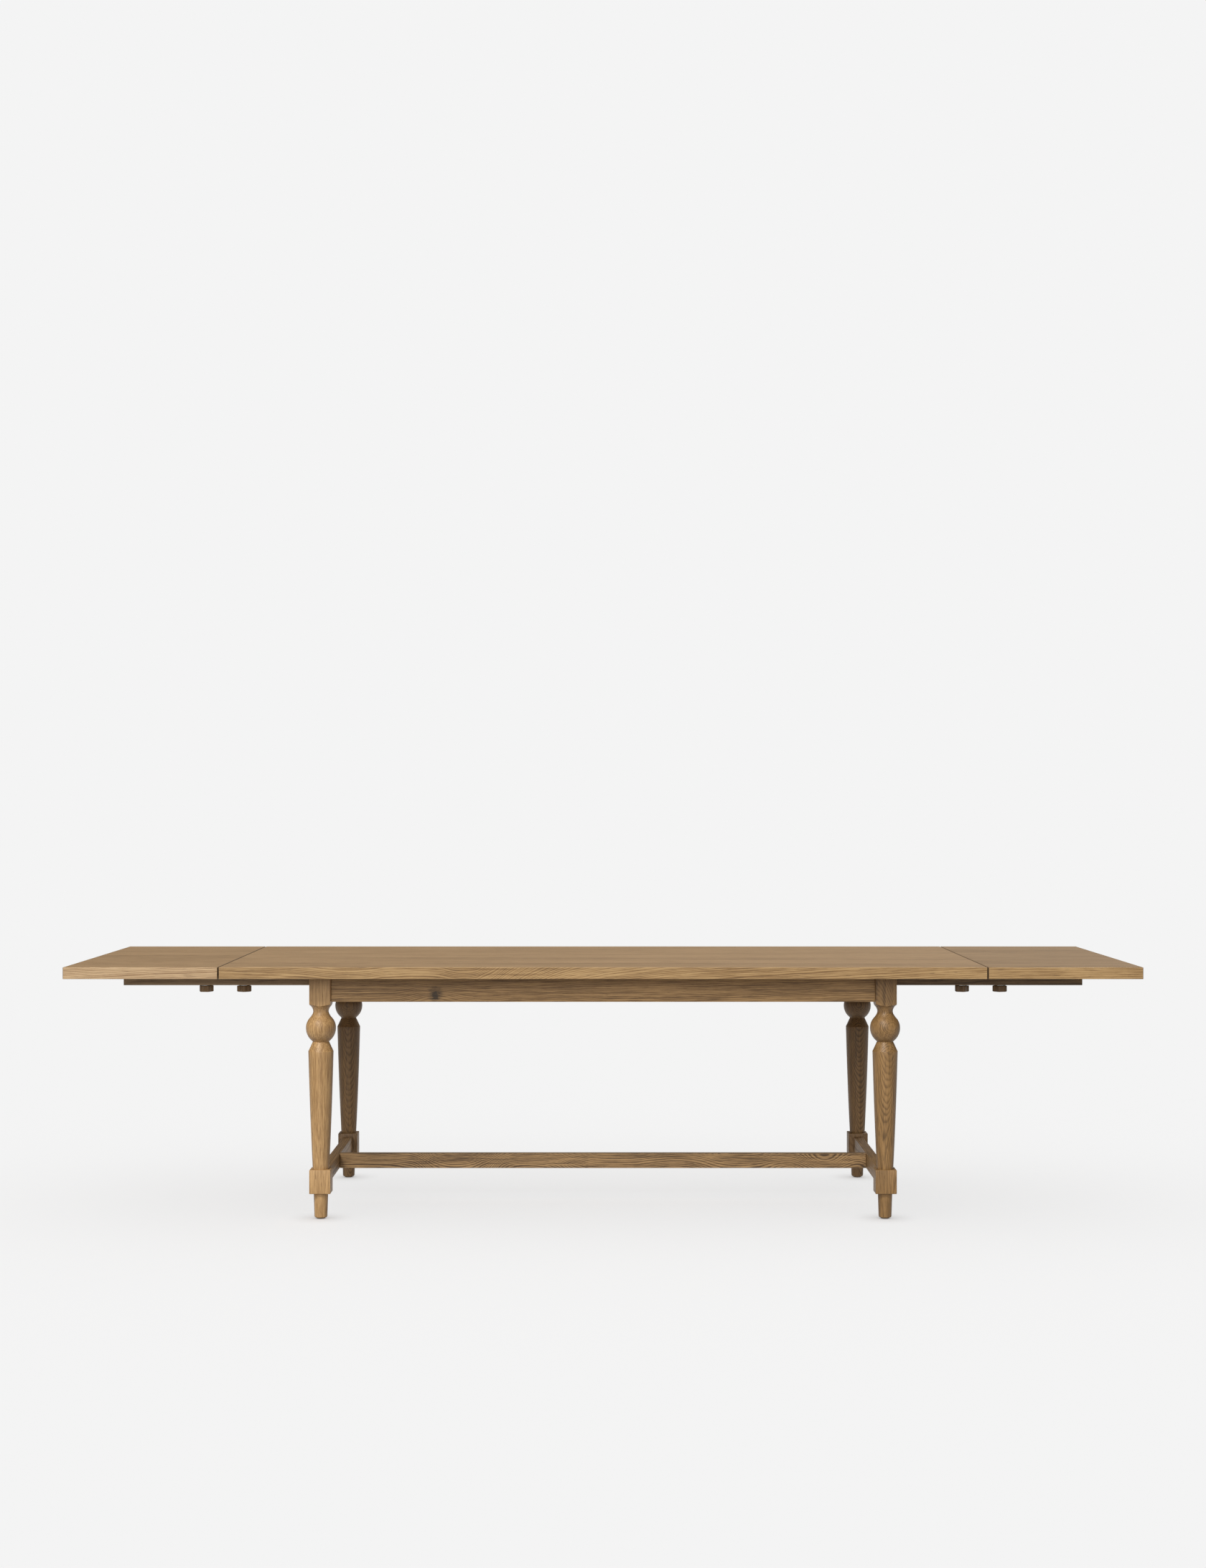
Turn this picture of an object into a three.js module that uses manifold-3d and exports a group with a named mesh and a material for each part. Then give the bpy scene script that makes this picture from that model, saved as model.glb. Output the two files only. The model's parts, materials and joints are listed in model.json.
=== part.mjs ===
// Extendable dining table: a fixed oak top on four turned legs, and two lift-off end leaves on slides.
// Millimetres. +X runs along the table, +Y across it, +Z up. The origin is on the floor, under the middle.
// Pieces that repeat are made once, for the right-hand back quarter, and mirrored into their places.

import * as THREE from "three";
import { mergeVertices } from "three/addons/utils/BufferGeometryUtils.js";
import Module from "manifold-3d";

const wasm = await Module();
wasm.setup();

// ---- Driving dimensions ----

const TABLE_LENGTH = 3200; // with both leaves in place
const TABLE_WIDTH = 1016;
const TABLE_HEIGHT = 762;
const TOP_THICKNESS = 35;
const LEAF_LENGTH = 460; // from the table's end to the middle of the seam
const SEAM_WIDTH = 3;
const EASED_EDGE = 1.5; // chamfer along the edges of the tops

const FIT = 0.3; // clearance between pieces that touch
const SLIDING_FIT = 0.5; // clearance round a slide

const LEG_X = 848; // leg axes, from the middle of the table
const LEG_Y = 396;
const LEG_BLOCK = 63.5; // side of the square blocks
const LEG_SEGMENTS = 20;
const UPPER_BLOCK_BOTTOM = 640;
const LOWER_BLOCK = [77, 149];
const BALL = { middle: 572.7, radius: 45, rise: 45, drop: 48 };
const GLIDE = { radius: 13, height: 3 };

const APRON = { height: 75, thickness: 22, setback: 13 }; // setback is behind the legs' outer faces
const TENON = { thickness: 10, length: 22 };
const STRETCHER = { height: [92, 138], thickness: 30, tenonLength: 16 };
const BEARER = { x: 640, thickness: 22, height: 67 };
const CORNER_BLOCK = { near: 70, far: 105, height: [655, 689] }; // along each apron, from the inner corner
const BUTTON = { x: 320, length: 40, tongueLength: 8, height: 19, tongueHeight: [4, 12] };

const SLIDE = { y: 333, width: 50, height: 29, outerEnd: 1449, length: 896, forkWidth: 9 };
const STUD = { radius: 4, sunk: 22, hole: 4.3 };
const STUD_X = { middle: 1087.5, leaf: 1203.5 };
const KNOB = { radius: 20.3, lobeRise: 2.1, lobes: 5, height: 18.4, bore: 11.4, eased: 1.8 };
const WASHER = { radius: 15, hole: 4.6, thickness: 2 };
const DOWEL = { y: 180, radius: 5, hole: 5.3, inTop: 26, inLeaf: 22 };

// ---- Levels and faces that follow from them ----

const UNDERSIDE = TABLE_HEIGHT - TOP_THICKNESS;
const FRAME_TOP = UNDERSIDE - FIT;
const SEAM_X = TABLE_LENGTH / 2 - LEAF_LENGTH;
const MIDDLE_END = SEAM_X - SEAM_WIDTH / 2;
const LEAF_START = SEAM_X + SEAM_WIDTH / 2;
const DOWEL_Z = UNDERSIDE + TOP_THICKNESS / 2;

const HALF_BLOCK = LEG_BLOCK / 2;
const BLOCK_SPAN = [-HALF_BLOCK, HALF_BLOCK];
const APRON_BOTTOM = UNDERSIDE - APRON.height;
const APRON_OUTSIDE = HALF_BLOCK - APRON.setback; // from a leg's axis
const APRON_INSIDE = APRON_OUTSIDE - APRON.thickness;
const APRON_MIDDLE = (APRON_OUTSIDE + APRON_INSIDE) / 2;
const LONG_APRON_HALF = LEG_X - HALF_BLOCK - FIT;
const END_APRON_HALF = LEG_Y - HALF_BLOCK - FIT;
const LONG_TENON_HEIGHT = [APRON_BOTTOM + 8, FRAME_TOP - 8];

const SLIDE_TOP = UNDERSIDE - SLIDING_FIT;
const SLIDE_BOTTOM = SLIDE_TOP - SLIDE.height;
const SLIDE_INNER_END = SLIDE.outerEnd - SLIDE.length;
const SLIDE_BED = SLIDE_BOTTOM - SLIDING_FIT; // what the slides run on
const SLIDE_SIDE = SLIDE.width / 2 + SLIDING_FIT; // half the width of the space that a slide runs in
const END_TENON_HEIGHT = [APRON_BOTTOM + 8, SLIDE_BED - 6];

const WASHER_BOTTOM = SLIDE_BOTTOM - FIT - WASHER.thickness;
const KNOB_TOP = WASHER_BOTTOM - FIT;

// ---- Materials ----

const topOak = new THREE.MeshStandardMaterial({ color: 0xa67c50, roughness: 0.45, metalness: 0 });
const frameOak = new THREE.MeshStandardMaterial({ color: 0x96703f, roughness: 0.5, metalness: 0 });
const hiddenWood = new THREE.MeshStandardMaterial({ color: 0x7a5f40, roughness: 0.7, metalness: 0 });
const knobWood = new THREE.MeshStandardMaterial({ color: 0x3b2a1c, roughness: 0.4, metalness: 0 });
const steel = new THREE.MeshStandardMaterial({ color: 0x9b9a96, roughness: 0.35, metalness: 1 });
const nylon = new THREE.MeshStandardMaterial({ color: 0x2c2926, roughness: 0.6, metalness: 0 });

// ---- Joining and cutting ----

function solidOf(geometry) {
  const bare = geometry.clone();
  bare.deleteAttribute("normal");
  bare.deleteAttribute("uv");
  const merged = mergeVertices(bare);
  return new wasm.Manifold(
    new wasm.Mesh({
      numProp: 3,
      vertProperties: merged.attributes.position.array,
      triVerts: new Uint32Array(merged.index.array),
    }),
  );
}

function geometryOf(solid) {
  const mesh = solid.getMesh();
  const geometry = new THREE.BufferGeometry();
  geometry.setAttribute("position", new THREE.BufferAttribute(mesh.vertProperties, 3));
  geometry.setIndex(new THREE.BufferAttribute(mesh.triVerts, 1));
  geometry.computeVertexNormals();
  return geometry;
}

const joined = (...shapes) => geometryOf(shapes.map(solidOf).reduce((a, b) => a.add(b)));
const cut = (...shapes) => geometryOf(shapes.map(solidOf).reduce((a, b) => a.subtract(b)));
const common = (...shapes) => geometryOf(shapes.map(solidOf).reduce((a, b) => a.intersect(b)));

// ---- Basic shapes ----

const grown = ([low, high], by = FIT) => [low - by, high + by];
const about = (middle, width) => [middle - width / 2, middle + width / 2];

function block([x0, x1], [y0, y1], [z0, z1]) {
  const geometry = new THREE.BoxGeometry(x1 - x0, y1 - y0, z1 - z0);
  return geometry.translate((x0 + x1) / 2, (y0 + y1) / 2, (z0 + z1) / 2);
}

// A block with its upper and lower edges chamfered.
function easedBlock([x0, x1], [y0, y1], [z0, z1], ease) {
  const outline = new THREE.Shape([
    new THREE.Vector2(x0, y0),
    new THREE.Vector2(x1, y0),
    new THREE.Vector2(x1, y1),
    new THREE.Vector2(x0, y1),
  ]);
  return eased(outline, [z0, z1], ease);
}

function eased(outline, [z0, z1], ease) {
  const geometry = new THREE.ExtrudeGeometry(outline, {
    depth: z1 - z0 - 2 * ease,
    bevelThickness: ease,
    bevelSize: ease,
    bevelOffset: -ease,
    bevelSegments: 1,
  });
  return geometry.translate(0, 0, z0 + ease);
}

// A plate whose outline is drawn in Y and Z, and whose thickness runs along X.
function crossPlate(corners, [x0, x1]) {
  const outline = new THREE.Shape(corners.map(([y, z]) => new THREE.Vector2(y, z)));
  const geometry = new THREE.ExtrudeGeometry(outline, { depth: x1 - x0, bevelEnabled: false });
  geometry.rotateX(Math.PI / 2);
  geometry.rotateZ(Math.PI / 2);
  return geometry.translate(x0, 0, 0);
}

// A body turned about the Z axis, from [radius, height] points that start and end on the axis.
function turned(outline, segments) {
  const points = outline.map(([radius, height]) => new THREE.Vector2(radius, height));
  return new THREE.LatheGeometry(points, segments).rotateX(Math.PI / 2);
}

function rod([x, y], radius, [z0, z1], segments = 12) {
  const outline = [
    [0, z0],
    [radius, z0],
    [radius, z1],
    [0, z1],
  ];
  return turned(outline, segments).translate(x, y, 0);
}

function rodAlongX([x0, x1], y, z, radius) {
  return rod([0, 0], radius, [x0, x1])
    .rotateY(Math.PI / 2)
    .translate(0, y, z);
}

// ---- Tops ----

const studHole = (x, y) => rod([x, y], STUD.hole, [UNDERSIDE - 1, UNDERSIDE + STUD.sunk + FIT]);

function middleTop() {
  const board = easedBlock(
    [-MIDDLE_END, MIDDLE_END],
    about(0, TABLE_WIDTH),
    [UNDERSIDE, TABLE_HEIGHT],
    EASED_EDGE,
  );
  const holes = [];
  for (const endSign of [-1, 1]) {
    const dowelHole = [endSign * (MIDDLE_END - DOWEL.inTop - FIT), endSign * (MIDDLE_END + 1)];
    for (const sideSign of [-1, 1]) {
      holes.push(studHole(endSign * STUD_X.middle, sideSign * SLIDE.y));
      holes.push(
        rodAlongX(dowelHole.sort((a, b) => a - b), sideSign * DOWEL.y, DOWEL_Z, DOWEL.hole),
      );
    }
  }
  return cut(board, ...holes);
}

function leaf() {
  const board = easedBlock(
    [LEAF_START, TABLE_LENGTH / 2],
    about(0, TABLE_WIDTH),
    [UNDERSIDE, TABLE_HEIGHT],
    EASED_EDGE,
  );
  const holes = [-1, 1].flatMap((sideSign) => [
    studHole(STUD_X.leaf, sideSign * SLIDE.y),
    rodAlongX(
      [LEAF_START - 1, LEAF_START + DOWEL.inLeaf + FIT],
      sideSign * DOWEL.y,
      DOWEL_Z,
      DOWEL.hole,
    ),
  ]);
  return cut(board, ...holes);
}

function dowel() {
  const span = [MIDDLE_END - DOWEL.inTop, LEAF_START + DOWEL.inLeaf];
  return rodAlongX(span, DOWEL.y, DOWEL_Z, DOWEL.radius);
}

// ---- Legs, drawn about their own axis, with the middle of the table towards -X and -Y ----

const arc = (curve, steps) => curve.getPoints(steps).map((point) => [point.x, point.y]);

// An arch of the ball, from one angle to another, with 0 at its middle and 90 degrees at its top.
function ballArc(halfHeight, fromAngle, toAngle, steps) {
  const curve = new THREE.EllipseCurve(0, BALL.middle, BALL.radius, halfHeight, fromAngle, toAngle);
  return arc(curve, steps);
}

function footOutline() {
  const bottom = GLIDE.height + FIT;
  return [
    [0, bottom],
    [15.5, bottom],
    [18.4, bottom + 1.2],
    [19.2, bottom + 4.5],
    [21.8, LOWER_BLOCK[0]],
  ];
}

// The shaft swells upwards a little faster than a straight taper, to the edge of the shoulder.
function shaftOutline() {
  const swelling = new THREE.SplineCurve([
    new THREE.Vector2(24.7, LOWER_BLOCK[1]),
    new THREE.Vector2(28.6, 253),
    new THREE.Vector2(35.3, 426),
    new THREE.Vector2(37.7, 503),
  ]);
  return arc(swelling, 6);
}

function ballOutline() {
  const crease = [24.6, 531];
  const lowest = -Math.acos(crease[0] / BALL.radius);
  const highest = Math.acos(31.7 / BALL.radius);
  const lower = ballArc(BALL.drop, lowest, 0, 5);
  const upper = ballArc(BALL.rise, 0, highest, 4).slice(1);
  return [crease, ...lower.slice(1), ...upper];
}

function neckOutline() {
  const intoNeck = new THREE.QuadraticBezierCurve(
    new THREE.Vector2(31.7, 604.7),
    new THREE.Vector2(23.2, 615),
    new THREE.Vector2(23.3, 622.5),
  );
  const outOfNeck = new THREE.QuadraticBezierCurve(
    new THREE.Vector2(23.3, 622.5),
    new THREE.Vector2(23.5, 632),
    new THREE.Vector2(HALF_BLOCK, UPPER_BLOCK_BOTTOM),
  );
  return [...arc(intoNeck, 3).slice(1), ...arc(outOfNeck, 3).slice(1)];
}

// The square block's lower corners are turned away, which leaves a shallow arch on each face.
function upperBlock() {
  const pastCorners = HALF_BLOCK * Math.SQRT2 + 1;
  const turnedAway = turned(
    [
      [0, UPPER_BLOCK_BOTTOM],
      [HALF_BLOCK, UPPER_BLOCK_BOTTOM],
      [pastCorners, UPPER_BLOCK_BOTTOM + 6],
      [pastCorners, FRAME_TOP],
      [0, FRAME_TOP],
    ],
    LEG_SEGMENTS,
  );
  return common(turnedAway, block(BLOCK_SPAN, BLOCK_SPAN, [UPPER_BLOCK_BOTTOM - 1, FRAME_TOP]));
}

function legMortises() {
  const deep = [-HALF_BLOCK - 1, -HALF_BLOCK + TENON.length + FIT];
  const apronTenon = grown(about(APRON_MIDDLE, TENON.thickness));
  const stretcherTenon = grown(about(0, TENON.thickness));
  return [
    block(deep, apronTenon, grown(LONG_TENON_HEIGHT)),
    block(apronTenon, deep, grown(END_TENON_HEIGHT)),
    block(stretcherTenon, deep, grown(STRETCHER.height, FIT - 6)),
  ];
}

function leg() {
  const spindle = turned(
    [
      ...footOutline(),
      ...shaftOutline(),
      ...ballOutline(),
      ...neckOutline(),
      [0, UPPER_BLOCK_BOTTOM + 10],
    ],
    LEG_SEGMENTS,
  );
  const lowerBlock = easedBlock(BLOCK_SPAN, BLOCK_SPAN, LOWER_BLOCK, 2);
  return cut(joined(spindle, upperBlock(), lowerBlock), ...legMortises());
}

const glide = () => rod([0, 0], GLIDE.radius, [0, GLIDE.height], 16);

// ---- Frame ----

function longApron() {
  const outside = LEG_Y + APRON_OUTSIDE;
  const inside = LEG_Y + APRON_INSIDE;
  const rail = block(
    [-LONG_APRON_HALF, LONG_APRON_HALF],
    [inside, outside],
    [APRON_BOTTOM, FRAME_TOP],
  );
  const tenonHalf = LONG_APRON_HALF + TENON.length;
  const tenons = block(
    [-tenonHalf, tenonHalf],
    about(LEG_Y + APRON_MIDDLE, TENON.thickness),
    LONG_TENON_HEIGHT,
  );
  const buttonSlots = [-1, 1].map((sign) =>
    block(
      grown(about(sign * BUTTON.x, BUTTON.length), 2),
      [inside - 1, inside + BUTTON.tongueLength + FIT],
      grown(BUTTON.tongueHeight.map((height) => FRAME_TOP - BUTTON.height + height)),
    ),
  );
  return cut(joined(rail, tenons), ...buttonSlots);
}

// The end aprons are cut down beside the legs, so that the slides pass over them.
function endApron() {
  const inside = LEG_X + APRON_INSIDE;
  const outside = LEG_X + APRON_OUTSIDE;
  const step = SLIDE.y - SLIDE_SIDE;
  const corners = [
    [-END_APRON_HALF, APRON_BOTTOM],
    [END_APRON_HALF, APRON_BOTTOM],
    [END_APRON_HALF, SLIDE_BED],
    [step, SLIDE_BED],
    [step, FRAME_TOP],
    [-step, FRAME_TOP],
    [-step, SLIDE_BED],
    [-END_APRON_HALF, SLIDE_BED],
  ];
  const tenons = block(
    about(LEG_X + APRON_MIDDLE, TENON.thickness),
    about(0, 2 * (END_APRON_HALF + TENON.length)),
    END_TENON_HEIGHT,
  );
  return joined(crossPlate(corners, [inside, outside]), tenons);
}

// A cross rail with a notch for each slide, which holds the slides' inner ends.
function bearer() {
  const half = LEG_Y + APRON_INSIDE - FIT;
  const bottom = FRAME_TOP - BEARER.height;
  const notch = [SLIDE.y - SLIDE_SIDE, SLIDE.y + SLIDE_SIDE];
  const rightHalf = [
    [half, bottom],
    [half, FRAME_TOP],
    [notch[1], FRAME_TOP],
    [notch[1], SLIDE_BED],
    [notch[0], SLIDE_BED],
    [notch[0], FRAME_TOP],
  ];
  const leftHalf = rightHalf.map(([y, z]) => [-y, z]).reverse();
  return crossPlate([...rightHalf, ...leftHalf], about(BEARER.x, BEARER.thickness));
}

function cornerBlock() {
  const cornerX = LEG_X + APRON_INSIDE - FIT;
  const cornerY = LEG_Y + APRON_INSIDE - FIT;
  const { near, far, height } = CORNER_BLOCK;
  const outline = new THREE.Shape([
    new THREE.Vector2(cornerX, cornerY - near),
    new THREE.Vector2(cornerX - near, cornerY),
    new THREE.Vector2(cornerX - far, cornerY),
    new THREE.Vector2(cornerX, cornerY - far),
  ]);
  const geometry = new THREE.ExtrudeGeometry(outline, {
    depth: height[1] - height[0],
    bevelEnabled: false,
  });
  return geometry.translate(0, 0, height[0]);
}

// A wooden button, screwed up into the top, with a tongue in the long apron's slot.
function button() {
  const inside = LEG_Y + APRON_INSIDE;
  const bottom = FRAME_TOP - BUTTON.height;
  const span = about(BUTTON.x, BUTTON.length);
  const body = block(span, [SLIDE.y + SLIDE_SIDE + 2, inside - FIT], [bottom, FRAME_TOP]);
  const tongue = block(
    span,
    [inside - 5, inside + BUTTON.tongueLength],
    BUTTON.tongueHeight.map((height) => bottom + height),
  );
  return joined(body, tongue);
}

function sideStretcher() {
  const rail = block(
    about(LEG_X, STRETCHER.thickness),
    about(0, 2 * (LEG_Y - HALF_BLOCK - FIT)),
    STRETCHER.height,
  );
  const tenons = block(
    about(LEG_X, TENON.thickness),
    about(0, 2 * (LEG_Y - HALF_BLOCK - FIT + TENON.length)),
    grown(STRETCHER.height, -6),
  );
  const mortise = block(
    [0, LEG_X - STRETCHER.thickness / 2 + STRETCHER.tenonLength + FIT],
    grown(about(0, TENON.thickness)),
    grown(STRETCHER.height, FIT - 6),
  );
  return cut(joined(rail, tenons), mortise);
}

function centreStretcher() {
  const half = LEG_X - STRETCHER.thickness / 2 - FIT;
  const rail = block([-half, half], about(0, STRETCHER.thickness), STRETCHER.height);
  const tenonHalf = half + STRETCHER.tenonLength;
  const tenons = block(
    [-tenonHalf, tenonHalf],
    about(0, TENON.thickness),
    grown(STRETCHER.height, -6),
  );
  return joined(rail, tenons);
}

// ---- Slides and their clamps ----

// The slot starts at the middle top's stud and runs out through the slide's end, as a fork.
function slide() {
  const bar = block(
    [SLIDE_INNER_END, SLIDE.outerEnd],
    about(SLIDE.y, SLIDE.width),
    [SLIDE_BOTTOM, SLIDE_TOP],
  );
  const fork = block(
    [STUD_X.middle - SLIDE.forkWidth / 2, SLIDE.outerEnd + 1],
    about(SLIDE.y, SLIDE.forkWidth),
    [SLIDE_BOTTOM - 1, SLIDE_TOP + 1],
  );
  return cut(bar, fork);
}

const stud = () => {
  const bottom = KNOB_TOP - KNOB.bore + 1;
  return rod([0, 0], STUD.radius, [bottom, UNDERSIDE + STUD.sunk]);
};

function washer() {
  const disc = rod([0, 0], WASHER.radius, [WASHER_BOTTOM, WASHER_BOTTOM + WASHER.thickness], 16);
  const hole = rod([0, 0], WASHER.hole, [WASHER_BOTTOM - 1, SLIDE_BOTTOM]);
  return cut(disc, hole);
}

// A wooden hand nut with round lobes, bored from above.
function knob() {
  const pointsPerLobe = 5;
  const points = [];
  for (let i = 0; i < KNOB.lobes * pointsPerLobe; i++) {
    const angle = (2 * Math.PI * i) / (KNOB.lobes * pointsPerLobe);
    const radius = KNOB.radius + KNOB.lobeRise * Math.cos(KNOB.lobes * angle);
    points.push(new THREE.Vector2(radius * Math.cos(angle), radius * Math.sin(angle)));
  }
  const body = eased(new THREE.Shape(points), [KNOB_TOP - KNOB.height, KNOB_TOP], KNOB.eased);
  return cut(body, rod([0, 0], STUD.hole, [KNOB_TOP - KNOB.bore, KNOB_TOP + 1]));
}

// ---- The table ----

function piece(name, geometry, material, position = [0, 0, 0]) {
  const mesh = new THREE.Mesh(geometry, material);
  mesh.name = name;
  mesh.position.set(...position);
  return mesh;
}

// Both clamps of one slide, each a stud, a washer and a knob turned by its own angle.
function clamps(corner, knobTurns) {
  return Object.entries(STUD_X).flatMap(([top, x], index) => {
    const place = [x, SLIDE.y, 0];
    const turnedKnob = piece(`${top}_knob_${corner}`, knob(), knobWood, place);
    turnedKnob.rotation.z = THREE.MathUtils.degToRad(knobTurns[index]);
    return [
      piece(`${top}_stud_${corner}`, stud(), steel, place),
      piece(`${top}_washer_${corner}`, washer(), steel, place),
      turnedKnob,
    ];
  });
}

function quarter(corner, knobTurns) {
  return [
    piece(`leg_${corner}`, leg(), frameOak, [LEG_X, LEG_Y, 0]),
    piece(`glide_${corner}`, glide(), nylon, [LEG_X, LEG_Y, 0]),
    piece(`corner_block_${corner}`, cornerBlock(), hiddenWood),
    piece(`top_button_${corner}`, button(), hiddenWood),
    piece(`dowel_${corner}`, dowel(), hiddenWood),
    piece(`slide_${corner}`, slide(), frameOak),
    ...clamps(corner, knobTurns),
  ];
}

function mirrored(pieces, signX, signY) {
  const group = new THREE.Group();
  group.add(...pieces);
  group.scale.set(signX, signY, 1);
  return group;
}

const ENDS = { left: -1, right: 1 };
const SIDES = { front: -1, back: 1 };
const KNOB_TURNS = {
  front_left: [20, 47],
  front_right: [5, 33],
  back_left: [61, 12],
  back_right: [40, 26],
};

const table = new THREE.Group();
table.name = "dining_table";
table.add(piece("middle_top", middleTop(), topOak));
table.add(piece("centre_stretcher", centreStretcher(), frameOak));

for (const [side, signY] of Object.entries(SIDES)) {
  const apron = piece(`${side}_apron`, longApron(), frameOak);
  table.add(mirrored([apron], 1, signY));
}

for (const [end, signX] of Object.entries(ENDS)) {
  const pieces = [
    piece(`${end}_leaf`, leaf(), topOak),
    piece(`${end}_apron`, endApron(), frameOak),
    piece(`${end}_bearer`, bearer(), hiddenWood),
    piece(`${end}_stretcher`, sideStretcher(), frameOak),
  ];
  table.add(mirrored(pieces, signX, 1));
}

for (const [side, signY] of Object.entries(SIDES)) {
  for (const [end, signX] of Object.entries(ENDS)) {
    const corner = `${side}_${end}`;
    table.add(mirrored(quarter(corner, KNOB_TURNS[corner]), signX, signY));
  }
}

export default table;
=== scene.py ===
"""The looks of an extendable oak dining table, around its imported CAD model.

Metres. +X runs along the table, +Y across it and away from the camera, +Z up. The origin is on the
floor, under the middle of the table.
"""

import json
import math

import bmesh
import bpy
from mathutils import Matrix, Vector


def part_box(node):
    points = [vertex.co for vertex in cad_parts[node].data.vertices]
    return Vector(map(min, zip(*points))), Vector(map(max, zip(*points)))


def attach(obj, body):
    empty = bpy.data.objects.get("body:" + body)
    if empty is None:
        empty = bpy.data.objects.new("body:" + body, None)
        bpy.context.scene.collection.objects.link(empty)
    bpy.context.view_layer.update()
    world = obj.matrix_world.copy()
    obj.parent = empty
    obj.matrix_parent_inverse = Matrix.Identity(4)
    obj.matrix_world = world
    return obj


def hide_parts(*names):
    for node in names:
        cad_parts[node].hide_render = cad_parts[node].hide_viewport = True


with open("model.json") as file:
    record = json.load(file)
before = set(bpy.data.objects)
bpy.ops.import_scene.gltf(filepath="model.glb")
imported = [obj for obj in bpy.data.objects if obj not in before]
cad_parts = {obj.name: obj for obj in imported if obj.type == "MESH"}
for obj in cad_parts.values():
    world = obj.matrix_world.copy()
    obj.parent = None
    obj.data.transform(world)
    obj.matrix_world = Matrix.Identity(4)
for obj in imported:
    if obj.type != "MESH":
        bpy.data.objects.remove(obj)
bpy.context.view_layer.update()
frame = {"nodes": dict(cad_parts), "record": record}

RECORD = frame["record"]
BODY_OF = {
    node: body
    for body, members in RECORD["behaviour"]["bodies"].items()
    for node in members
}
SIDES = {"front": -1, "back": 1}
ENDS = {"left": -1, "right": 1}
CORNERS = {
    f"{side}_{end}": (sign_x, sign_y)
    for side, sign_y in SIDES.items()
    for end, sign_x in ENDS.items()
}

MM = 0.001


def end_of(corner):
    return corner.split("_")[1]


# ---- Camera, light and floor ----

CAMERA_DISTANCE = 7.638  # from the middle of the table
CAMERA_HEIGHT = 1.2595
CAMERA_LENS = 55.28
HORIZON_SHIFT = 0.0098  # the camera looks level, and the horizon is a little below the picture's middle

BACKDROP = 0.905  # the pale grey that the camera sees all round
SKY_LIGHT = 0.27  # the even light that falls on the table from all round
SKY_TONE = (1, 0.93, 0.84)  # a little warm
FLOOR_REACH = 400
FLOOR_TONE = (0.97, 0.92, 0.93)  # evens out the warm light that the table throws on it
CONTACT_REACH = 0.09  # how far the painted shadow round each foot reaches
CONTACT_SHADE = 0.30  # how much of the floor's own light is left where something covers it
CONTACT_SAMPLES = 16
SOFTBOX_DISTANCE = 60  # far enough to light both ends of the table alike
# Degrees round from the front to the right, degrees up, width, and light on the table in W/m2.
SOFTBOXES = {
    "key": (-26, 45, 17, 2.0),
    "fill": (-8, 20, 34, 1.4),
    "back": (152, 50, 22, 0.9),
}


def add_object(name, data):
    made = bpy.data.objects.new(name, data)
    bpy.context.scene.collection.objects.link(made)
    return made


def add_camera():
    camera = bpy.data.cameras.new("camera")
    camera.lens = CAMERA_LENS
    camera.shift_y = HORIZON_SHIFT
    holder = add_object("camera", camera)
    holder.location = (0, -CAMERA_DISTANCE, CAMERA_HEIGHT)
    holder.rotation_euler = (math.pi / 2, 0, 0)
    bpy.context.scene.camera = holder


def add_world():
    """A pale backdrop for the camera, and a dimmer, even light for everything else."""
    world = bpy.data.worlds.new("studio")
    bpy.context.scene.world = world
    world.use_nodes = True
    nodes, links = world.node_tree.nodes, world.node_tree.links
    nodes.clear()
    seen = nodes.new("ShaderNodeLightPath").outputs["Is Camera Ray"]
    level = nodes.new("ShaderNodeMix")
    links.new(seen, level.inputs["Factor"])
    level.inputs["A"].default_value = SKY_LIGHT
    level.inputs["B"].default_value = BACKDROP
    hue = nodes.new("ShaderNodeMix")
    hue.data_type = "RGBA"
    links.new(seen, hue.inputs["Factor"])
    hue.inputs["A"].default_value = (*SKY_TONE, 1)
    hue.inputs["B"].default_value = (1, 1, 1, 1)
    light = nodes.new("ShaderNodeBackground")
    links.new(hue.outputs["Result"], light.inputs["Color"])
    links.new(level.outputs["Result"], light.inputs["Strength"])
    output = nodes.new("ShaderNodeOutputWorld")
    links.new(light.outputs["Background"], output.inputs["Surface"])


def floor_material():
    """Pale and matt. Its own light keeps the shadows faint, and fades where something is close, which paints
    a soft shadow round each foot.
    """
    material = bpy.data.materials.new("floor")
    material.use_nodes = True
    nodes, links = material.node_tree.nodes, material.node_tree.links
    shader = nodes["Principled BSDF"]
    shader.inputs["Base Color"].default_value = (*FLOOR_TONE, 1)
    shader.inputs["Roughness"].default_value = 1
    shader.inputs["Specular IOR Level"].default_value = 0
    own_light = [BACKDROP - tone * sky * SKY_LIGHT for tone, sky in zip(FLOOR_TONE, SKY_TONE)]
    shader.inputs["Emission Color"].default_value = (*own_light, 1)
    # Painted shadow: an occlusion test dims the floor's own light near the feet and other close parts.
    nearby = nodes.new("ShaderNodeAmbientOcclusion")
    nearby.samples = CONTACT_SAMPLES
    nearby.inputs["Distance"].default_value = CONTACT_REACH
    shade = nodes.new("ShaderNodeMapRange")
    shade.inputs["To Min"].default_value = CONTACT_SHADE
    links.new(nearby.outputs["AO"], shade.inputs["Value"])
    links.new(shade.outputs["Result"], shader.inputs["Emission Strength"])
    return material


def add_floor():
    reach = FLOOR_REACH
    mesh = bpy.data.meshes.new("floor")
    corners = [(-reach, -reach, 0), (reach, -reach, 0), (reach, reach, 0), (-reach, reach, 0)]
    mesh.from_pydata(corners, [], [(0, 1, 2, 3)])
    mesh.materials.append(floor_material())
    floor = add_object("floor", mesh)
    floor.visible_diffuse = False
    return floor


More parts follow.
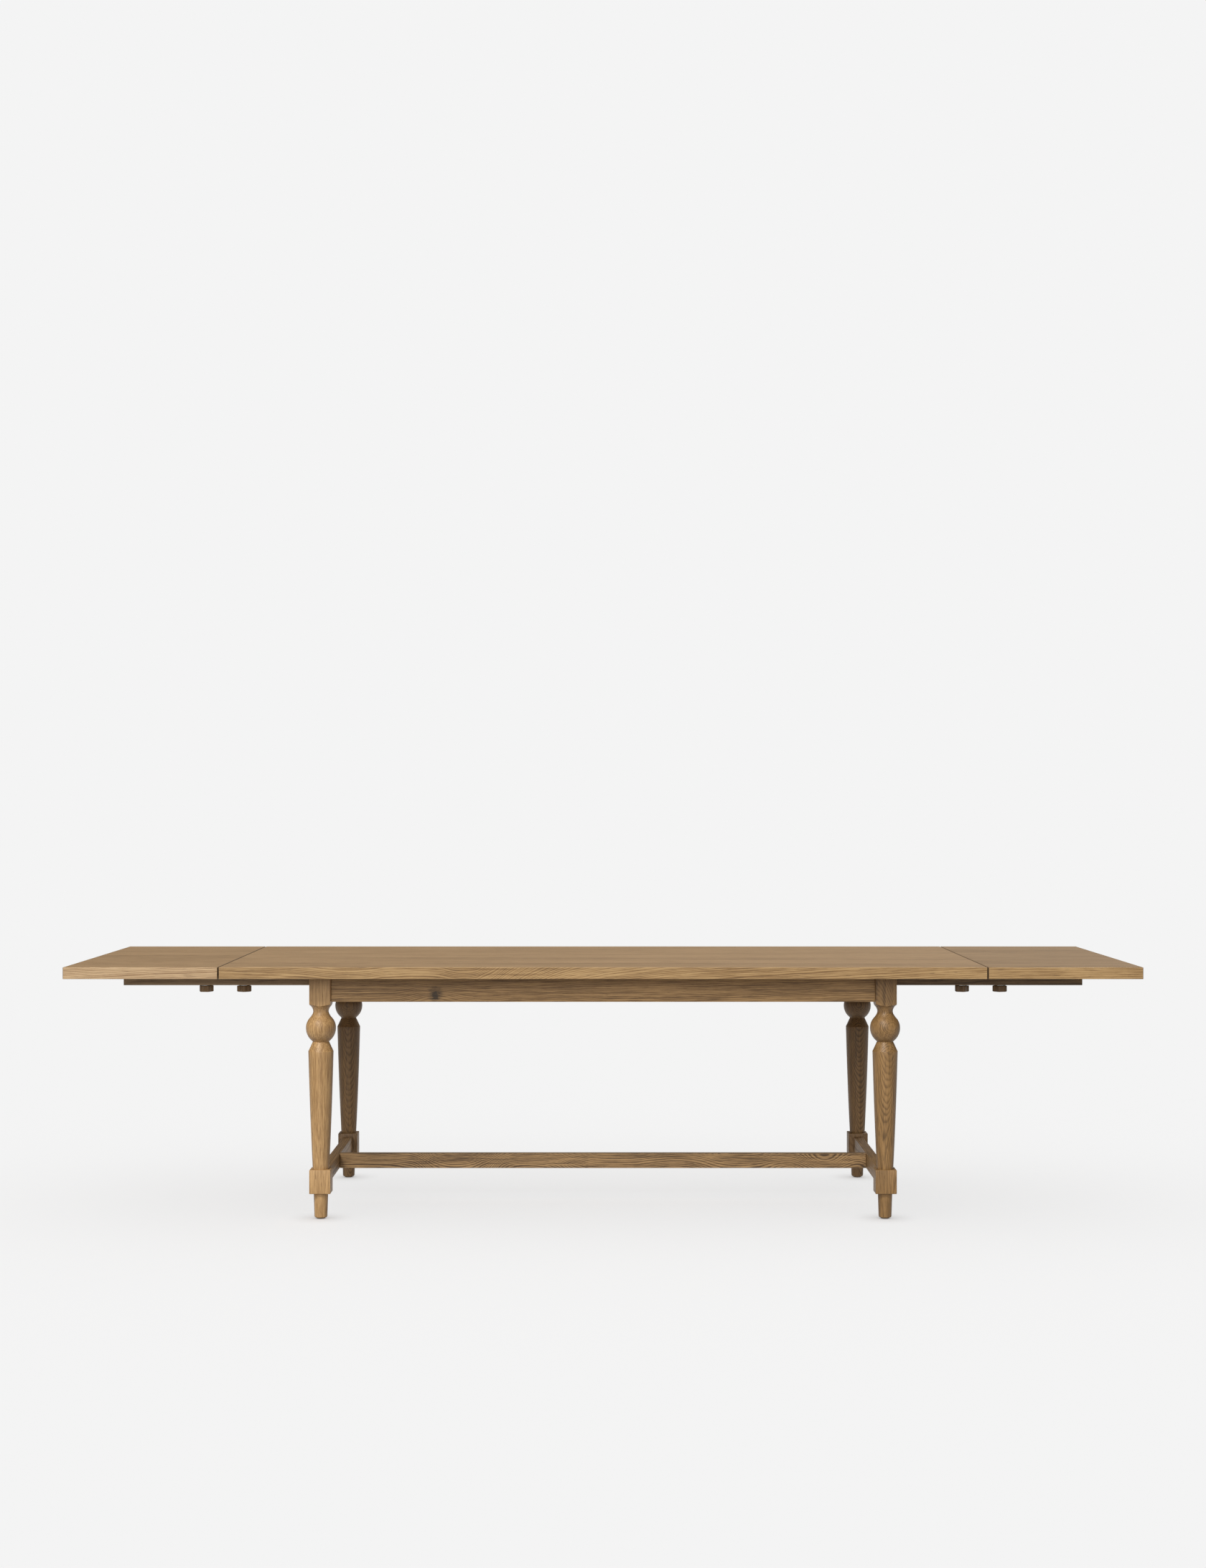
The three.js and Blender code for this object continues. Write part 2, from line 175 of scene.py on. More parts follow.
def keep_off(light, receiver):
    """Stops a light from falling on one object."""
    listed = bpy.data.collections.new(f"{light.name}_receivers")
    listed.objects.link(receiver)
    listed.collection_objects[0].light_linking.link_state = "EXCLUDE"
    light.light_linking.receiver_collection = listed


def add_softbox(name, azimuth, elevation, width, strength):
    """A round light that faces the table, with its power set by the light that reaches it."""
    light = bpy.data.lights.new(name, "AREA")
    light.shape = "DISK"
    light.size = width
    light.energy = strength * math.pi * SOFTBOX_DISTANCE**2
    holder = add_object(name, light)
    around, up = math.radians(azimuth), math.radians(elevation)
    way = Vector((math.cos(up) * math.sin(around), -math.cos(up) * math.cos(around), math.sin(up)))
    holder.location = way * SOFTBOX_DISTANCE
    holder.rotation_euler = way.to_track_quat("Z", "Y").to_euler()
    holder.visible_camera = False
    return holder


add_camera()
add_world()
studio_floor = add_floor()
for softbox, settings in SOFTBOXES.items():
    keep_off(add_softbox(softbox, *settings), studio_floor)
bpy.context.scene.view_settings.view_transform = "Standard"


# ---- Node trees ----


class Graph:
    """A material whose nodes are made by calls that return output sockets."""

    def __init__(self, name):
        self.material = bpy.data.materials.new(name)
        self.material.use_nodes = True
        self.tree = self.material.node_tree
        self.shader = self.tree.nodes["Principled BSDF"]

    def plug(self, value, socket):
        if isinstance(value, bpy.types.NodeSocket):
            self.tree.links.new(value, socket)
        else:
            socket.default_value = value

    def math(self, operation, a, b=0.0):
        node = self.tree.nodes.new("ShaderNodeMath")
        node.operation = operation
        self.plug(a, node.inputs[0])
        self.plug(b, node.inputs[1])
        return node.outputs[0]

    def plus(self, a, b):
        return self.math("ADD", a, b)

    def minus(self, a, b):
        return self.math("SUBTRACT", a, b)

    def times(self, a, b):
        return self.math("MULTIPLY", a, b)

    def over(self, a, b):
        return self.math("DIVIDE", a, b)

    def length(self, values):
        """The length of a vector, from its parts."""
        total = 0.0
        for value in values:
            total = self.plus(self.times(value, value), total)
        return self.math("SQRT", total)

    def vector(self, operation, a, b):
        node = self.tree.nodes.new("ShaderNodeVectorMath")
        node.operation = operation
        self.plug(a, node.inputs[0])
        self.plug(b, node.inputs[1])
        return node.outputs[0]

    def place(self):
        return self.tree.nodes.new("ShaderNodeTexCoord").outputs["Object"]

    def split(self, vector):
        node = self.tree.nodes.new("ShaderNodeSeparateXYZ")
        self.plug(vector, node.inputs[0])
        return node.outputs

    def combine(self, x, y, z):
        node = self.tree.nodes.new("ShaderNodeCombineXYZ")
        for value, socket in zip((x, y, z), node.inputs):
            self.plug(value, socket)
        return node.outputs[0]

    def noise(self, vector, stretch, detail=2.0, roughness=0.5, colour=False):
        """Noise from -0.5 to 0.5 or so, with features 1 / stretch metres long each way."""
        node = self.tree.nodes.new("ShaderNodeTexNoise")
        self.plug(self.vector("MULTIPLY", vector, stretch), node.inputs["Vector"])
        node.inputs["Scale"].default_value = 1
        node.inputs["Detail"].default_value = detail
        node.inputs["Roughness"].default_value = roughness
        if colour:
            return self.vector("SUBTRACT", node.outputs["Color"], (0.5, 0.5, 0.5))
        return self.minus(node.outputs[0], 0.5)

    def random(self, number):
        """Three random numbers from 0 to 1 that go with a number."""
        node = self.tree.nodes.new("ShaderNodeTexWhiteNoise")
        node.noise_dimensions = "1D"
        self.plug(number, node.inputs["W"])
        return self.split(node.outputs["Color"])

    def curve(self, value, points):
        """A smooth curve from 0 to 1 through a few points."""
        node = self.tree.nodes.new("ShaderNodeFloatCurve")
        self.plug(value, node.inputs["Value"])
        line = node.mapping.curves[0]
        line.points[0].location = points[0]
        line.points[1].location = points[-1]
        for point in points[1:-1]:
            line.points.new(*point)
        node.mapping.update()
        return node.outputs[0]

    def span(self, value, low, high, smooth=True):
        """0 at low and 1 at high."""
        node = self.tree.nodes.new("ShaderNodeMapRange")
        node.interpolation_type = "SMOOTHSTEP" if smooth else "LINEAR"
        self.plug(value, node.inputs["Value"])
        node.inputs["From Min"].default_value = low
        node.inputs["From Max"].default_value = high
        return node.outputs["Result"]

    def ramp(self, value, stops):
        node = self.tree.nodes.new("ShaderNodeValToRGB")
        self.plug(value, node.inputs[0])
        band = node.color_ramp
        while len(band.elements) < len(stops):
            band.elements.new(0.5)
        for element, (position, colour) in zip(band.elements, stops):
            element.position = position
            element.color = colour
        return node.outputs["Color"]

    def mix(self, factor, a, b):
        node = self.tree.nodes.new("ShaderNodeMix")
        node.data_type = "RGBA"
        self.plug(factor, node.inputs["Factor"])
        self.plug(a, node.inputs["A"])
        self.plug(b, node.inputs["B"])
        return node.outputs["Result"]

    def attribute(self, name):
        node = self.tree.nodes.new("ShaderNodeAttribute")
        node.attribute_name = name
        return node.outputs["Fac"]

    def bump(self, height, distance):
        node = self.tree.nodes.new("ShaderNodeBump")
        node.inputs["Distance"].default_value = distance
        self.plug(height, node.inputs["Height"])
        self.plug(node.outputs[0], self.shader.inputs["Normal"])

    def lacquer(self, weight, roughness):
        self.shader.inputs["Coat Weight"].default_value = weight
        self.shader.inputs["Coat Roughness"].default_value = roughness

    def finish(self, colour, roughness):
        self.plug(colour, self.shader.inputs["Base Color"])
        self.plug(roughness, self.shader.inputs["Roughness"])
        return self.material


def linear(red, green, blue):
    """A colour from its 0 to 255 display values, by the sRGB formula."""

    def decoded(value):
        value /= 255
        return value / 12.92 if value <= 0.04045 else ((value + 0.055) / 1.055) ** 2.4

    return (decoded(red), decoded(green), decoded(blue), 1)


def darker(colour, share):
    return tuple(share * value for value in colour)


# ---- Oak ----

# Each tone is the wood between the rings, the wood in them and the pores.
TOP_TONE = (linear(174, 141, 100), linear(146, 115, 76), linear(92, 68, 42))
EDGE_TONE = (linear(180, 147, 100), linear(136, 104, 63), linear(80, 56, 32))
# Paler wood for the left leaf's long edges: partly its own wood, partly painted light from the left.
PALE_AND_LIT_EDGE_TONE = (linear(200, 171, 132), linear(160, 128, 92), linear(100, 73, 48))
TAN_TONE = (linear(194, 156, 106), linear(150, 115, 73), linear(80, 55, 32))
APRON_TONE = (linear(182, 144, 94), linear(134, 102, 62), linear(60, 43, 23))
BROWN_TONE = (linear(154, 119, 74), linear(110, 82, 47), linear(54, 38, 21))
STRIPED_TONE = (linear(166, 132, 88), linear(96, 71, 42), linear(46, 32, 18))
# The back legs' tone: partly their own darker wood, partly painted shade for their place under the top.
DARK_WOOD_AND_PAINTED_SHADE_TONE = (linear(140, 108, 68), linear(102, 76, 45), linear(50, 35, 20))
# The left slides' tone is lighter, as painted light from the left; the right slides keep the plain tone.
SLIDE_TONES_WITH_PAINTED_LIGHT = {
    "left": (linear(166, 138, 102), linear(134, 109, 78), linear(66, 51, 35)),
    "right": (linear(132, 106, 72), linear(102, 79, 52), linear(54, 40, 25)),
}
PLAIN_TONE = (linear(180, 148, 108), linear(150, 120, 84), linear(98, 74, 49))
# The left knobs' tone is lighter, as painted light from the left, and the right knobs' darker, as painted
# shade.
KNOB_TONES_WITH_PAINTED_LIGHT_AND_SHADE = {
    "left": (linear(142, 110, 69), linear(110, 82, 50), linear(56, 40, 24)),
    "right": (linear(116, 87, 52), linear(88, 64, 36), linear(44, 31, 18)),
}
END_GRAIN_AND_SEAM_SHADE = 0.52  # the ends of a board drink more stain, and are darkened further as painted shade, so the seam between top and leaf shows dark
LACQUER = 0.15  # a thin satin coat
WOOD_SHINE = 0.3  # how strongly the wood under the coat shines
LACQUER_SMOOTHER = 0.08  # how much smoother the coat is than the wood
WOOD_RELIEF = 0.25 * MM  # how deep the pores are

RING_STOPS = [
    (0.00, (1, 1, 1, 1)),
    (0.18, (0.70, 0.70, 0.70, 1)),
    (0.38, (0.20, 0.20, 0.20, 1)),
    (0.66, (0, 0, 0, 1)),
    (0.90, (0.30, 0.30, 0.30, 1)),
    (1.00, (1, 1, 1, 1)),
]
GRAIN_ORDER = {"X": "XYZ", "Y": "YXZ", "Z": "ZXY"}

# How many features of each kind there are to a metre, along the grain and the two ways across it.
HEART_WANDER = (2.2, 6, 6)
RING_WAVES = (14, 60, 60)
RING_SPACING = (55, 1, 1)  # out from the heart, how often the rings draw together and apart
RING_BREAKS = (5, 40, 40)  # where a ring is faint
FIBRES = (16, 420, 420)
STREAKS = (3.0, 130, 130)
BLOTCHES = (2.6, 11, 11)
PORES = (30, 560, 560)
FLECKS = (8, 95, 95)
KNOT_EDGES = (50, 110, 110)

RING_UNEVENNESS = 3.0  # in rings

# How far each of these darkens the wood or, for wear, turns it to the lightest wood.
FIBRE_SHADE = 1.3
STREAK_SHADE = 0.9
PLANK_SHADE = 0.25
PORE_STAIN = 0.6
GLUE_STAIN = 0.5
KNOT_STAIN = 0.6
KNOT_CORE_STAIN = 0.8
WEAR = 0.45

# Where in its noise, or in a knot's radii, each of these starts and is full.
PORE_SPAN = (0.09, 0.20)
FLECK_SPAN = (0.19, 0.27)
WEAR_SPAN = (-0.25, 0.15)
KNOT_SPAN = (1.6, 0.5)
KNOT_CORE_SPAN = (0.62, 0.3)
KNOT_RAGGEDNESS = 2.6

SEED_STEP = (3.7, 1.3, 2.1)  # how far one seed's figure is from the next one's, in metres

# Where a plank lay in its tree: how far it may be off to the side in widths, how near the heart in depths,
# and how far along in metres. A glue line fades out between two distances from a plank's edge.
PLANK_ASIDE = 1.3
PLANK_NEAREST = 0.35
PLANK_ALONG = 9.0
GLUE_LINE = (0.9 * MM, 0.2 * MM)


class Oak(Graph):
    """Solid oak: growth rings round a heart that wanders along the grain, with fibres, pores and mottling.

    along is the axis of the grain, and heart is where the rings' centre lies across it, in metres from the
    origin. lean moves the heart across for each metre along, which draws the rings out into long arches.
    """

    def __init__(self, name, along, heart, lean=(0.0, 0.0), spacing=5 * MM, seed=0):
        super().__init__(name)
        axes = self.split(self.place())
        order = GRAIN_ORDER[along]
        self.at = self.combine(*(axes[letter] for letter in order))
        self.heart = heart
        self.lean = lean
        self.spacing = spacing
        self.shift = tuple(seed * step for step in SEED_STEP)
        self.lifts = []
        self.plank_tone = 0.0
        self.glue_line = None

    def in_planks(self, width, depth, seed):
        """Cuts the wood into planks edge to edge along its second axis, each from another part of a tree."""
        along, across, up = self.split(self.at)
        number = self.math("FLOOR", self.plus(self.over(across, width), 0.5))
        chance = self.random(self.plus(number, seed))
        from_middle = self.minus(across, self.times(number, width))
        self.plank_tone = self.minus(chance[0], 0.5)
        aside = self.times(self.plank_tone, PLANK_ASIDE * width)
        below = self.times(self.plus(chance[1], PLANK_NEAREST), depth)
        further_along = self.times(chance[2], PLANK_ALONG)
        self.at = self.combine(
            self.plus(along, further_along),
            self.plus(from_middle, aside),
            self.plus(up, below),
        )
        edge = self.minus(width / 2, self.math("ABSOLUTE", from_middle))
        self.glue_line = self.span(edge, *GLUE_LINE)

    def fold(self):
        """Gives both sides of the middle the same figure."""
        along, across, up = self.split(self.at)
        away = self.math("ABSOLUTE", across)
        self.at = self.combine(along, self.times(away, -1.0), up)

    def rise(self, low, high, height, points):
        """Lifts the rings by a curve along the grain, from low to high, as a change of figure."""
        along = self.split(self.at)[0]
        share = self.span(along, low, high, smooth=False)
        self.lifts.append(self.times(self.curve(share, points), height))

    def reach(self, centre, radii):
        """The distance from a point, in radii."""
        away = self.vector("DIVIDE", self.vector("SUBTRACT", self.at, centre), radii)
        return self.length(self.split(away))

    def sweep_round(self, centre, radii, height):
        """Makes the rings arch over a knot."""
        near = self.span(self.reach(centre, radii), 1.0, 0.0)
        self.lifts.append(self.times(near, height))

    def ring_tone(self, wander, waves):
        """The tone of the rings from 0 to 1, after large and small changes of direction."""
        at = self.vector("ADD", self.at, self.shift)
        slow = self.noise(at, HEART_WANDER, detail=2, colour=True)
        quick = self.noise(at, RING_WAVES, detail=3, colour=True)
        bent = self.vector("ADD", self.at, self.vector("MULTIPLY", slow, (0, wander, wander)))
        bent = self.vector("ADD", bent, self.vector("MULTIPLY", quick, (0, waves, waves)))
        along, across, up = self.split(bent)
        radius = self.length(
            self.minus(self.minus(value, heart), self.times(along, lean))
            for value, heart, lean in zip((across, up), self.heart, self.lean)
        )
        for lift in self.lifts:
            radius = self.plus(radius, lift)
        uneven = self.noise(self.combine(radius, 0.0, 0.0), RING_SPACING, detail=2)
        count = self.plus(self.over(radius, self.spacing), self.times(uneven, RING_UNEVENNESS))
        return self.split(self.ramp(self.math("FRACT", count), RING_STOPS))[0]

    def stained(self, colour, stain, mask, strength):
        """The colour, turned towards a stain where a mask is 1."""
        return self.mix(self.times(mask, strength), colour, stain)

    def knotted(self, colour, pore_wood, centre, radii):
        """The colour, with a ragged knot: a stain round a darker core."""
        edges = self.noise(self.at, KNOT_EDGES, detail=5, roughness=0.65)
        away = self.plus(self.reach(centre, radii), self.times(edges, KNOT_RAGGEDNESS))
        colour = self.stained(colour, pore_wood, self.span(away, *KNOT_SPAN), KNOT_STAIN)
        core = self.span(away, *KNOT_CORE_SPAN)
        return self.stained(colour, darker(pore_wood, 0.4), core, KNOT_CORE_STAIN)

    def finished(
        self,
        tone,
        wander=14 * MM,
        waves=2 * MM,
        ring=0.5,
        fine=1.0,
        mottle=0.5,
        flecks=0.3,
        roughness=0.46,
        knots=(),
    ):
        """The material, with the strength of its rings, fine fibres, mottling and dark flecks."""
        light_wood, ring_wood, pore_wood = tone
        at = self.vector("ADD", self.at, self.shift)
        rings = self.ring_tone(wander, waves)
        fibre = self.noise(at, FIBRES, detail=3, roughness=0.65)
        streak = self.noise(at, STREAKS, detail=3, roughness=0.6)
        blotch = self.noise(at, BLOTCHES, detail=3)
        broken = self.plus(self.times(self.noise(at, RING_BREAKS, detail=3), 2.4), 0.8)
        shades = (
            (ring, self.times(rings, broken)),
            (FIBRE_SHADE * fine, fibre),
            (STREAK_SHADE * fine, streak),
            (mottle, blotch),
            (PLANK_SHADE, self.plank_tone),
        )
        darkness = 0.36 - 0.3 * ring  # stronger rings leave the wood between them lighter
        for strength, shade in shades:
            darkness = self.plus(darkness, self.times(shade, strength))
        dark_wood = tuple((a + b) / 2 for a, b in zip(ring_wood, pore_wood))
        colour = self.ramp(darkness, [(0.0, light_wood), (0.6, ring_wood), (1.0, dark_wood)])

        speck = self.span(self.noise(at, PORES, detail=2), *PORE_SPAN)
        pores = self.times(speck, self.plus(self.times(rings, 0.6), 0.4))
        fleck = self.span(self.noise(at, FLECKS, detail=3), *FLECK_SPAN)
        colour = self.stained(colour, pore_wood, pores, PORE_STAIN)
        colour = self.stained(colour, pore_wood, fleck, flecks)
        if self.glue_line:
            colour = self.stained(colour, pore_wood, self.glue_line, GLUE_STAIN)
        for centre, radii in knots:
            colour = self.knotted(colour, pore_wood, centre, radii)
        worn = self.times(self.attribute("wear"), self.span(blotch, *WEAR_SPAN))
        colour = self.stained(colour, light_wood, worn, WEAR)

        relief = self.minus(self.times(fibre, 0.5), self.times(rings, 0.3))
        self.bump(self.minus(relief, pores), WOOD_RELIEF)
        self.shader.inputs["Specular IOR Level"].default_value = WOOD_SHINE
        self.lacquer(LACQUER, roughness - LACQUER_SMOOTHER)
        rough = self.plus(self.times(rings, 0.08), roughness)
        rough = self.plus(rough, self.times(streak, 0.10))
        return self.finish(colour, rough)


def steel():
    graph = Graph("steel")
    graph.shader.inputs["Metallic"].default_value = 1
    at = graph.place()
    brushed = graph.noise(at, (260, 260, 900), detail=3)
    cloudy = graph.noise(at, (70, 70, 70), detail=2)
    tone = graph.plus(graph.times(cloudy, 0.8), 0.5)
    colour = graph.ramp(tone, [(0.1, linear(150, 148, 144)), (0.9, linear(205, 202, 196))])
    graph.bump(brushed, 0.05 * MM)
    rough = graph.plus(graph.times(brushed, 0.35), 0.36)
    return graph.finish(colour, rough)


def nylon():
    graph = Graph("nylon")
    at = graph.place()
    grain = graph.noise(at, (900, 900, 900), detail=2)
    scuffed = graph.span(graph.noise(at, (90, 90, 30), detail=3), 0.05, 0.3)
    colour = graph.mix(scuffed, linear(104, 84, 62), linear(130, 110, 86))
    graph.bump(grain, 0.08 * MM)
    rough = graph.plus(graph.times(scuffed, 0.15), 0.5)
    return graph.finish(colour, rough)


# ---- Meshes ----

SHARP_BEND = math.radians(30)  # an edge that turns by more is rounded off, or fully worn
SHARP_SHADE = math.radians(35)  # an edge that turns by more isn't shaded smoothly
ONE_PLACE = 0.01 * MM  # vertices that are closer together are one


def shade(mesh):
    mesh.shade_smooth()
    mesh.set_sharp_from_angle(angle=SHARP_SHADE)


def shade_by_area(mesh):
    """Keeps the smooth shading of the narrow rounded edges off the wide flat faces beside them."""
    shade(mesh)
    smooth = [Vector() for _ in mesh.vertices]
    for face in mesh.polygons:
        for index in face.vertices:
            smooth[index] += face.normal * face.area
    sharp = {index for edge in mesh.edges if edge.use_edge_sharp for index in edge.vertices}
    mesh.normals_split_custom_set(
        [
            face.normal if index in sharp else smooth[index].normalized()
            for face in mesh.polygons
            for index in face.vertices
        ]
    )


def mesh_from(name, bm):
    bmesh.ops.recalc_face_normals(bm, faces=bm.faces)
    mesh = bpy.data.meshes.new(name)
    bm.to_mesh(mesh)
    bm.free()
    shade(mesh)
    return mesh


def ring_rows(bm, rings, angles, centre):
    """Rows of vertices about a vertical axis. A ring is a height and a radius for each angle."""
    rows = []
    for height, radius_at in rings:
        row = []
        for angle in angles:
            radius = radius_at(angle)
            x = centre[0] + radius * math.cos(angle)
            y = centre[1] + radius * math.sin(angle)
            row.append(bm.verts.new((x, y, height)))
        rows.append(row)
    return rows


def join_rows(bm, rows):
    for lower, upper in zip(rows, rows[1:]):
        for i in range(len(lower)):
            j = (i + 1) % len(lower)
            bm.faces.new((lower[i], lower[j], upper[j], upper[i]))


def close_ends(bm, rows):
    bm.faces.new(rows[0])
    bm.faces.new(rows[-1])


def revolved(name, rings, angles, centre):
    """A solid whose first and last rings are closed by a flat face."""
    bm = bmesh.new()
    rows = ring_rows(bm, rings, angles, centre)
    join_rows(bm, rows)
    close_ends(bm, rows)
    bmesh.ops.recalc_face_normals(bm, faces=bm.faces)
    mark_worn_bends(bm)
    return mesh_from(name, bm)


def hollow(name, rings, angles, centre):
    """A solid with a hole through it: its last ring joins its first."""
    bm = bmesh.new()
    rows = ring_rows(bm, rings, angles, centre)
    join_rows(bm, rows + rows[:1])
    return mesh_from(name, bm)


def round_ring(height, radius):
    return height, lambda angle: radius


def even_angles(count):
    return [2 * math.pi * i / count for i in range(count)]


def centre_of(node):
    """The vertical axis of a CAD node."""
    low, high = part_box(node)
    return ((low.x + high.x) / 2, (low.y + high.y) / 2)


def add_piece(name, mesh, materials, node):
    """A piece that stands for a CAD node, and moves and is named as that node is."""
    for material in materials:
        mesh.materials.append(material)
    piece = add_object(name, mesh)
    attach(piece, BODY_OF[node])
    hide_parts(node)
    return piece


def mark_worn_bends(bm):
    """Marks where the finish is rubbed thin, by how sharply a fine mesh turns outwards at a vertex."""
    layer = bm.verts.layers.float.new("wear")
    for vert in bm.verts:
        bend = max(edge.calc_face_angle_signed(0) for edge in vert.link_edges)
        vert[layer] = min(1.0, max(0.0, bend) / SHARP_BEND)


def ease_edges(bm, radius, segments):
    """Rounds the sharp edges, and marks the new faces as worn."""
    worn = bm.faces.layers.float.new("wear")
    sharp = [edge for edge in bm.edges if edge.calc_face_angle(0) > SHARP_BEND]
    rounded = bmesh.ops.bevel(
        bm,
        geom=sharp,
        offset=radius,
        segments=segments,
        profile=0.5,
        affect="EDGES",
        clamp_overlap=True,
    )
    for face in rounded["faces"]:
        face[worn] = 1.0


def eased_copy(node, radius, segments=2):
    """The CAD node's own shape, with its sharp edges rounded off."""
    bm = bmesh.new()
    bm.from_mesh(frame["nodes"][node].data)
    bmesh.ops.remove_doubles(bm, verts=bm.verts, dist=ONE_PLACE)
    flat = math.radians(1)
    bmesh.ops.dissolve_limit(bm, angle_limit=flat, verts=bm.verts, edges=bm.edges)
    ease_edges(bm, radius, segments)
    mesh = mesh_from(node, bm)
    shade_by_area(mesh)
    return mesh


# ---- Tops ----

EDGE_RADIUS = 1.6 * MM
STUD_HOLE = 4.3 * MM
DOWEL_HOLE = 5.3 * MM
HOLE_SPARE = 0.3 * MM  # how far a hole runs on past the end of its stud or dowel
PLANK_WIDTH = 127 * MM
PLANK_DEPTH = 80 * MM
# An end's darker wood also takes in the rounded rims beside it, which widens the painted shade along a seam.
ENDWARDS = 0.2  # a face that looks this much along the table belongs to an end
SIDEWARDS = 0.5  # and one that looks this much across it, to a long edge


def board(node):
    """A top or a leaf, with rounded edges, before its holes are bored."""
    low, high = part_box(node)
    bm = bmesh.new()
    bmesh.ops.create_cube(bm, size=1)
    bmesh.ops.scale(bm, vec=high - low, verts=bm.verts)
    bmesh.ops.translate(bm, vec=(high + low) / 2, verts=bm.verts)
    ease_edges(bm, EDGE_RADIUS, 3)
    return mesh_from(node, bm)


def give_faces_woods(mesh):
    """The first wood is for the top and underside, the second for the long edges, the third for the ends."""
    for face in mesh.polygons:
        if abs(face.normal.x) > ENDWARDS:
            face.material_index = 2
        elif abs(face.normal.y) > SIDEWARDS:
            face.material_index = 1


def round_cutter(name, start, end, radius):
    """A round bar between two points, for boring a hole."""
    bm = bmesh.new()
    length = (end - start).length
    bmesh.ops.create_cone(bm, cap_ends=True, segments=32, radius1=radius, radius2=radius, depth=length)
    turn = (end - start).to_track_quat("Z", "Y").to_matrix().to_4x4()
    bmesh.ops.transform(bm, matrix=turn, verts=bm.verts)
    bmesh.ops.translate(bm, vec=(start + end) / 2, verts=bm.verts)
    return add_object(name, mesh_from(name, bm))


def bored(mesh, holes):
    """The mesh with round holes cut in it."""
    holder = add_object("bored", mesh)
    cutters = []
    for number, (start, end, radius) in enumerate(holes):
        cutter = round_cutter(f"cutter_{number}", Vector(start), Vector(end), radius)
        cutters.append(cutter)
        boolean = holder.modifiers.new(cutter.name, "BOOLEAN")
        boolean.object = cutter
        boolean.solver = "EXACT"
    bpy.context.view_layer.update()
    graph = bpy.context.evaluated_depsgraph_get()
    made = bpy.data.meshes.new_from_object(holder.evaluated_get(graph))
    for spare in (holder, *cutters):
        bpy.data.objects.remove(spare)
    made.name = mesh.name
    made.materials.clear()
    shade_by_area(made)
    return made


def holes_in(node, stud_kind, dowel_ends):
    """The stud holes in a top's underside, and the dowel holes in its ends."""
    holes = []
    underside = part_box(node)[0].z
    for corner, (sign_x, sign_y) in CORNERS.items():
        if node not in ("middle_top", f"{end_of(corner)}_leaf"):
            continue
        stud = f"{stud_kind}_stud_{corner}"
        x, y = centre_of(stud)
        stud_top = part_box(stud)[1].z
        holes.append(((x, y, underside - MM), (x, y, stud_top + HOLE_SPARE), STUD_HOLE))
        low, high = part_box(f"dowel_{corner}")
        y, z = (low.y + high.y) / 2, (low.z + high.z) / 2
        start, stop = dowel_ends(sign_x, low.x, high.x)
        holes.append(((start, y, z), (stop, y, z), DOWEL_HOLE))
    return holes


def middle_dowel_hole(sign_x, low, high):
    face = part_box("middle_top")[1].x
    deepest = min(abs(low), abs(high)) - HOLE_SPARE
    return sign_x * (face + MM), sign_x * deepest


def leaf_dowel_hole(sign_x, low, high):
    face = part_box("right_leaf")[0].x
    deepest = max(abs(low), abs(high)) + HOLE_SPARE
    return sign_x * (face - MM), sign_x * deepest


def top_oak(name, seed, stain=1.0):
    """A panel of planks glued edge to edge, with other planks for each seed."""
    wood = Oak(name, "X", heart=(0, 0.745), lean=(0.02, 0.035), spacing=5 * MM, seed=seed)
    wood.in_planks(PLANK_WIDTH, PLANK_DEPTH, seed=seed * 17 + 3)
    tone = [darker(colour, stain) for colour in TOP_TONE]
    return wood.finished(tone, ring=0.40, fine=1.5, mottle=0.8, flecks=0.75, roughness=0.46)


# How high the grain runs along the front edge of the middle top, from its left end to its right end.
# It dips and arches, then sweeps up steeply left of the middle, and levels out to the right.
EDGE_SWEEP = 260 * MM
EDGE_SWEEP_POINTS = [
    (0.00, 0.14),
    (0.10, 0.11),
    (0.17, 0.06),
    (0.23, 0.10),
    (0.28, 0.10),
    (0.32, 0.05),
    (0.345, 0.11),
    (0.38, 0.30),
    (0.42, 0.48),
    (0.47, 0.62),
    (0.55, 0.73),
    (0.72, 0.86),
    (1.00, 1.00),
]


def middle_edge_oak():
    wood = Oak("middle_edge_oak", "X", heart=(-0.49, 0.60), spacing=6 * MM, seed=4)
    wood.fold()
    half_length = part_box("middle_top")[1].x
    wood.rise(-half_length, half_length, -EDGE_SWEEP, EDGE_SWEEP_POINTS)
    return wood.finished(EDGE_TONE, wander=9 * MM, waves=2.6 * MM, ring=0.8, fine=1.1, roughness=0.5)


def leaf_edge_oak(end, slope, seed):
    wood = Oak(f"{end}_edge_oak", "X", heart=(-0.47, 0.60), lean=(0, slope), spacing=5 * MM, seed=seed)
    wood.fold()
    # The left leaf's edges are paler: partly their own wood, partly painted light from the left.
    tone = PALE_AND_LIT_EDGE_TONE if end == "left" else EDGE_TONE
    return wood.finished(tone, wander=12 * MM, waves=2.6 * MM, ring=0.75, fine=1.1, roughness=0.5)


